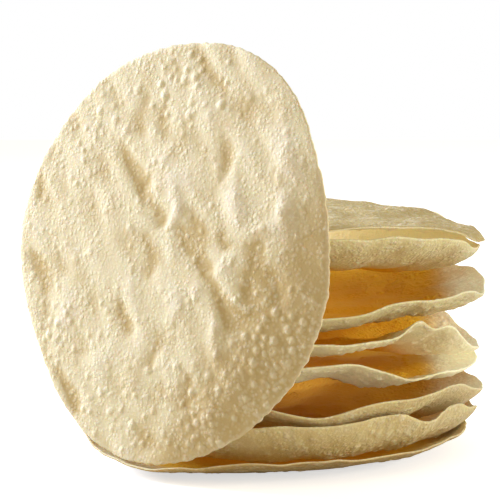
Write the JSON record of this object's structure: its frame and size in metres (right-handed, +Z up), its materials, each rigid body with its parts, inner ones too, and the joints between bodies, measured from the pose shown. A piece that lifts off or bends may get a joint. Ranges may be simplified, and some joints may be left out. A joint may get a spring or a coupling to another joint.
{
  "type": "stack of fried papads",
  "caption": "Thin, round, wavy fried papads lying in a loose stack, with one more standing on edge and leaning against the front of the stack.",
  "frame": {"origin": "on the table, in the flat spot that the lowest papad rests on, close to the axis of the stack", "axes": "+Z up; +X to the right and +Y away from the viewer as the stack is seen from the front"},
  "size_m": [0.2138, 0.2111, 0.1878],
  "materials": {
    "papad_1": "dry, matt, blistered fried wafer",
    "papad_2": "dry, matt, blistered fried wafer",
    "papad_3": "dry, matt, blistered fried wafer",
    "papad_4": "dry, matt, blistered fried wafer",
    "papad_5": "dry, matt, blistered fried wafer",
    "papad_6": "dry, matt, blistered fried wafer",
    "papad_7": "dry, matt, blistered fried wafer",
    "papad_8": "dry, matt, blistered fried wafer",
    "papad_leaning": "dry, matt, blistered fried wafer"
  },
  "bodies": {
    "root": {"papad_1": "papad_1", "papad_2": "papad_2", "papad_3": "papad_3", "papad_4": "papad_4", "papad_5": "papad_5", "papad_6": "papad_6", "papad_7": "papad_7", "papad_8": "papad_8", "papad_leaning": "papad_leaning"}
  },
  "joints": []
}
